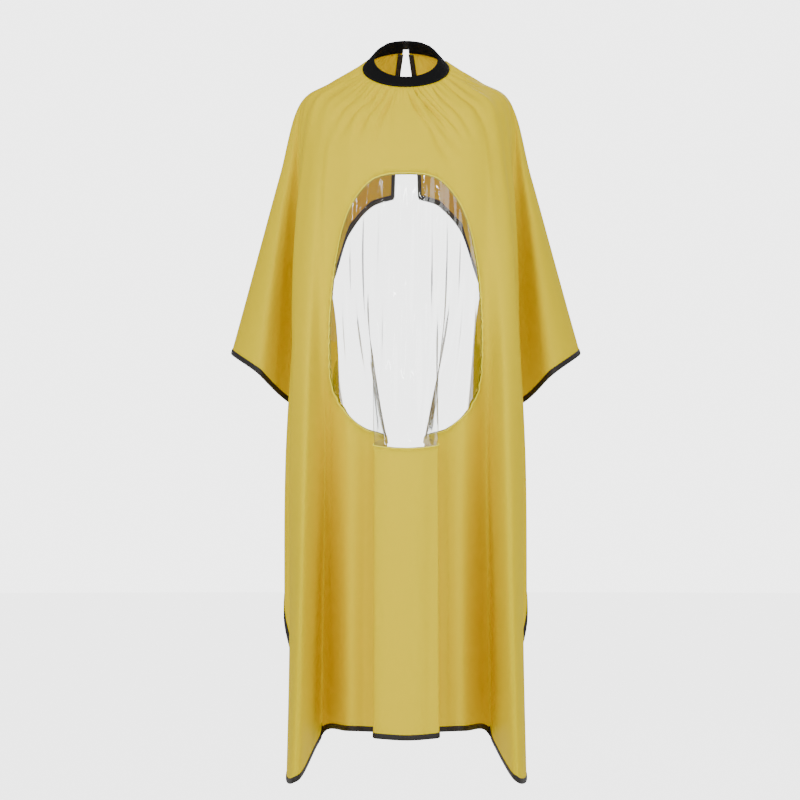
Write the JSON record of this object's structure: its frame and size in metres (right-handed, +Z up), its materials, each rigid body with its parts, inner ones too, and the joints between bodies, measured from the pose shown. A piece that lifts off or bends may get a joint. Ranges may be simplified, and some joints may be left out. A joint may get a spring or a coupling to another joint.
{
  "type": "barber cape",
  "caption": "Salon cape with an oval clear window, hanging in folds from a knitted neckband, with bound hems and a hook-and-loop strap.",
  "frame": {"origin": "middle of the neck opening, at the height of the shoulder seams of a collar: where the wearer's neck holds the cape", "axes": "+Z up along the wearer's neck, -Y to the wearer's front, where the window is, +X to the wearer's left"},
  "size_m": [0.6526, 0.4517, 1.3634],
  "materials": {
    "yellow_cloth": "fine plain weave with a soft sheen",
    "black_binding": "folded woven tape",
    "clear_sheet": "glossy flexible clear sheet",
    "window_tape": "folded cloth tape",
    "black_rib": "rib knit",
    "hook_and_loop": "woven nylon tape",
    "elastic": "braided elastic"
  },
  "bodies": {
    "cape": {"upper_front": "yellow_cloth", "centre_pleat_panel": "yellow_cloth", "left_pleat_underlay": "yellow_cloth", "left_lower_front": "yellow_cloth", "left_front_fold": "yellow_cloth", "left_front_corner": "yellow_cloth", "left_side_panel": "yellow_cloth", "left_shoulder_flap": "yellow_cloth", "left_back_corner": "yellow_cloth", "left_back_panel": "yellow_cloth", "right_pleat_underlay": "yellow_cloth", "right_lower_front": "yellow_cloth", "right_front_fold": "yellow_cloth", "right_front_corner": "yellow_cloth", "right_side_panel": "yellow_cloth", "right_shoulder_flap": "yellow_cloth", "right_back_corner": "yellow_cloth", "right_back_panel": "yellow_cloth", "front_hem_binding": "black_binding", "left_side_binding": "black_binding", "left_back_hem_binding": "black_binding", "left_slit_binding": "black_binding", "right_side_binding": "black_binding", "right_back_hem_binding": "black_binding", "right_slit_binding": "black_binding", "clear_window": "clear_sheet", "window_facing_upper": "window_tape", "window_facing_lower": "window_tape", "neckband_cover": "black_rib", "strap_anchor": "black_rib", "loop_tape": "hook_and_loop", "neck_elastic": "elastic"},
    "strap": {"closure_strap": "black_rib", "hook_tape": "hook_and_loop"}
  },
  "joints": [
    {"name": "strap_peel", "type": "hinge", "parent": "cape", "child": "strap", "pos_m": [0.03537, 0.07108, 0.0411], "axis": [0.3096, 0.6695, -0.6752], "range_deg": [0, 150]}
  ]
}
